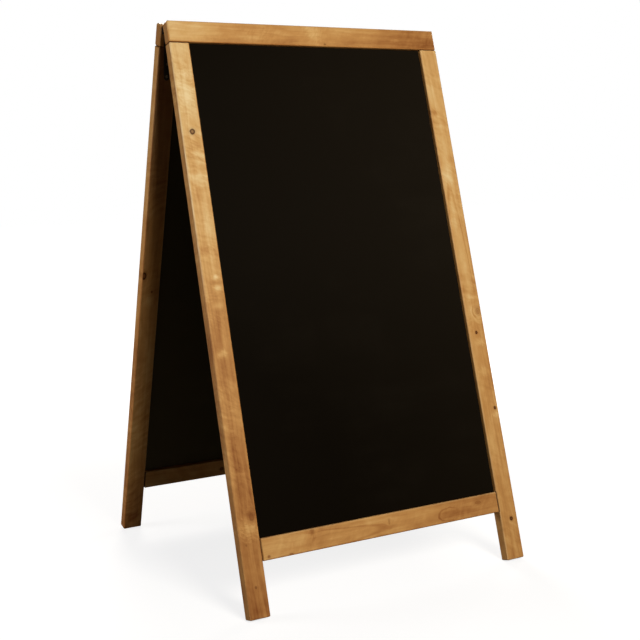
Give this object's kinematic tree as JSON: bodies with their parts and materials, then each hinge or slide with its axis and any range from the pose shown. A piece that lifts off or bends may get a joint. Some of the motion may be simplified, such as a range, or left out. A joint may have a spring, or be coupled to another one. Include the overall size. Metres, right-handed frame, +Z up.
{
  "type": "sandwich board",
  "caption": "Folding A-shaped pavement sign: two timber-framed chalk panels joined at the top by strap hinges with a stop, free-standing when open.",
  "frame": {"origin": "on the ground, midway between the front feet and the rear feet, on the middle plane", "axes": "+X to the right seen from the front, along the rails and the hinge pins; +Y from the front leaf to the rear leaf; +Z up"},
  "size_m": [0.693, 0.718, 1.2101],
  "materials": {
    "timber": "satin golden-brown stain with a clear coat, fine straight grain",
    "blackboard": "matt black chalkboard paint on both faces of thin hardboard",
    "dowel": "plain beech",
    "hinge_steel": "black-coated steel, satin",
    "pin_steel": "bright steel, peened ends",
    "screw_steel": "zinc plated"
  },
  "bodies": {
    "front_frame": {"front_bottom_dowels": "dowel", "front_bottom_rail": "timber", "front_chalk_panel": "blackboard", "front_left_stile": "timber", "front_right_stile": "timber", "front_top_dowels": "dowel", "front_top_rail": "timber", "left_hinge_front_leaf": "hinge_steel", "left_hinge_front_screws": "screw_steel", "left_hinge_pin": "pin_steel", "right_hinge_front_leaf": "hinge_steel", "right_hinge_front_screws": "screw_steel", "right_hinge_pin": "pin_steel"},
    "rear_frame": {"left_hinge_rear_leaf": "hinge_steel", "left_hinge_rear_screws": "screw_steel", "rear_bottom_dowels": "dowel", "rear_bottom_rail": "timber", "rear_chalk_panel": "blackboard", "rear_left_stile": "timber", "rear_right_stile": "timber", "rear_top_dowels": "dowel", "rear_top_rail": "timber", "right_hinge_rear_leaf": "hinge_steel", "right_hinge_rear_screws": "screw_steel"}
  },
  "joints": [
    {"name": "fold", "type": "hinge", "parent": "front_frame", "child": "rear_frame", "pos_m": [0, 0, 1.1928], "axis": [-1, 0, 0], "range_deg": [0, 31.45]}
  ]
}
